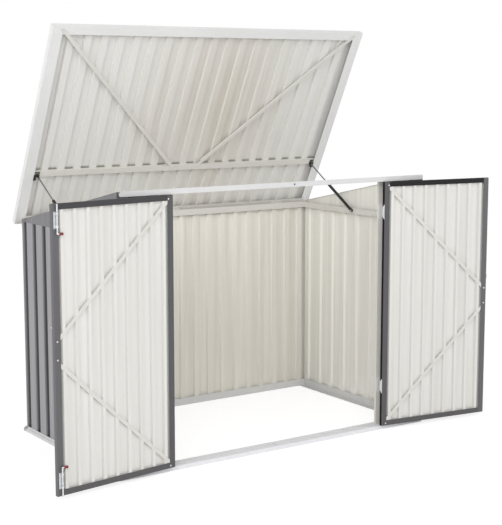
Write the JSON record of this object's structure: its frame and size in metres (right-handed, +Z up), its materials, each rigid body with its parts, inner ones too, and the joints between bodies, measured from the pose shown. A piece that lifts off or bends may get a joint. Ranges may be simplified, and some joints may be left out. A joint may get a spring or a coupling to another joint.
{
  "type": "bike shed",
  "caption": "Low sheet-steel bike shed with ribbed walls, hinged front doors on bolts, a grooved sill and a sloping lid hinged at the back on gas struts.",
  "frame": {"origin": "on the ground at the centre of the anchor holes, which is the middle of the base", "axes": "+X across the front to the right as seen from the front, +Y from front to back, +Z up"},
  "size_m": [2.8025, 1.2928, 2.2653],
  "materials": {
    "dark_paint": "satin",
    "light_paint": "satin",
    "zinc_steel": "zinc plated",
    "black_steel": "gloss",
    "bright_rod": "polished",
    "red_plastic": "gloss"
  },
  "bodies": {
    "shed": {"back_corner_angles": "light_paint", "back_top_rail": "light_paint", "back_wall_panel": "dark_paint", "base_back_rail": "light_paint", "base_front_sill": "light_paint", "base_left_rail": "light_paint", "base_right_rail": "light_paint", "door_hinge_pins": "zinc_steel", "door_hinge_post_leaves": "zinc_steel", "front_left_panel": "dark_paint", "front_left_post": "dark_paint", "front_right_panel": "dark_paint", "front_right_post": "dark_paint", "header_rail": "light_paint", "left_door_post": "light_paint", "left_gable": "dark_paint", "left_top_rail": "light_paint", "left_wall_panel": "dark_paint", "lid_hinge_fixed_leaves": "zinc_steel", "lid_hinge_pins": "zinc_steel", "right_door_post": "light_paint", "right_gable": "dark_paint", "right_top_rail": "light_paint", "right_wall_panel": "dark_paint", "strut_wall_brackets": "zinc_steel"},
    "lid": {"lid_back_rail": "light_paint", "lid_braces": "light_paint", "lid_cross_rail": "light_paint", "lid_front_rail": "light_paint", "lid_hinge_moving_leaves": "zinc_steel", "lid_left_rail": "light_paint", "lid_panel": "light_paint", "lid_right_rail": "light_paint", "strut_lid_brackets": "zinc_steel"},
    "left_door": {"bolt_guides": "zinc_steel", "door_lock_stud": "zinc_steel", "left_door_bottom_rail": "dark_paint", "left_door_braces": "light_paint", "left_door_free_stile": "dark_paint", "left_door_hinge_leaves": "zinc_steel", "left_door_hinge_stile": "dark_paint", "left_door_panel": "light_paint", "left_door_top_rail": "dark_paint"},
    "right_door": {"door_hasp": "zinc_steel", "right_door_bottom_rail": "dark_paint", "right_door_braces": "light_paint", "right_door_free_stile": "dark_paint", "right_door_hinge_leaves": "zinc_steel", "right_door_hinge_stile": "dark_paint", "right_door_panel": "light_paint", "right_door_top_rail": "dark_paint"},
    "left_strut_cylinder": {"left_strut_cylinder": "black_steel"},
    "left_strut_rod": {"left_strut_rod": "bright_rod"},
    "right_strut_cylinder": {"right_strut_cylinder": "black_steel"},
    "right_strut_rod": {"right_strut_rod": "bright_rod"},
    "top_bolt": {"top_bolt_rod": "zinc_steel", "top_bolt_sleeve": "red_plastic"},
    "bottom_bolt": {"bottom_bolt_rod": "zinc_steel", "bottom_bolt_sleeve": "red_plastic"}
  },
  "joints": [
    {"name": "lid_hinge", "type": "hinge", "parent": "shed", "child": "lid", "pos_m": [0, 0.563, 1.207], "axis": [1, 0, 0], "range_deg": [0, 51.11]},
    {"name": "left_door_hinge", "type": "hinge", "parent": "shed", "child": "left_door", "pos_m": [-0.7005, -0.558, 0.72], "axis": [0, 0, 1], "range_deg": [0, 172.3]},
    {"name": "right_door_hinge", "type": "hinge", "parent": "shed", "child": "right_door", "pos_m": [0.7005, -0.558, 0.72], "axis": [0, 0, -1], "range_deg": [0, 172.3]},
    {"name": "left_strut_pivot", "type": "hinge", "parent": "shed", "child": "left_strut_cylinder", "pos_m": [-0.936, 0.0238, 1.1918], "axis": [1, 0, 0], "range_deg": [-16.11, 0]},
    {"name": "left_strut_slide", "type": "slide", "parent": "left_strut_cylinder", "child": "left_strut_rod", "axis": [0, 0.8459, 0.5333], "range_m": [-0.2145, 0]},
    {"name": "right_strut_pivot", "type": "hinge", "parent": "shed", "child": "right_strut_cylinder", "pos_m": [0.936, 0.0238, 1.1918], "axis": [1, 0, 0], "range_deg": [-16.11, 0]},
    {"name": "right_strut_slide", "type": "slide", "parent": "right_strut_cylinder", "child": "right_strut_rod", "axis": [0, 0.8459, 0.5333], "range_m": [-0.2145, 0]},
    {"name": "top_bolt_slide", "type": "slide", "parent": "left_door", "child": "top_bolt", "axis": [0, 0, 1], "range_m": [0, 0.016]},
    {"name": "bottom_bolt_slide", "type": "slide", "parent": "left_door", "child": "bottom_bolt", "axis": [0, 0, -1], "range_m": [0, 0.016]}
  ],
  "couplings": [
    {"joint": "left_strut_pivot", "follows": "lid_hinge", "ratio": -0.31496},
    {"joint": "left_strut_slide", "follows": "lid_hinge", "m_per_rad": -0.24037},
    {"joint": "right_strut_pivot", "follows": "lid_hinge", "ratio": -0.31496},
    {"joint": "right_strut_slide", "follows": "lid_hinge", "m_per_rad": -0.24037}
  ]
}
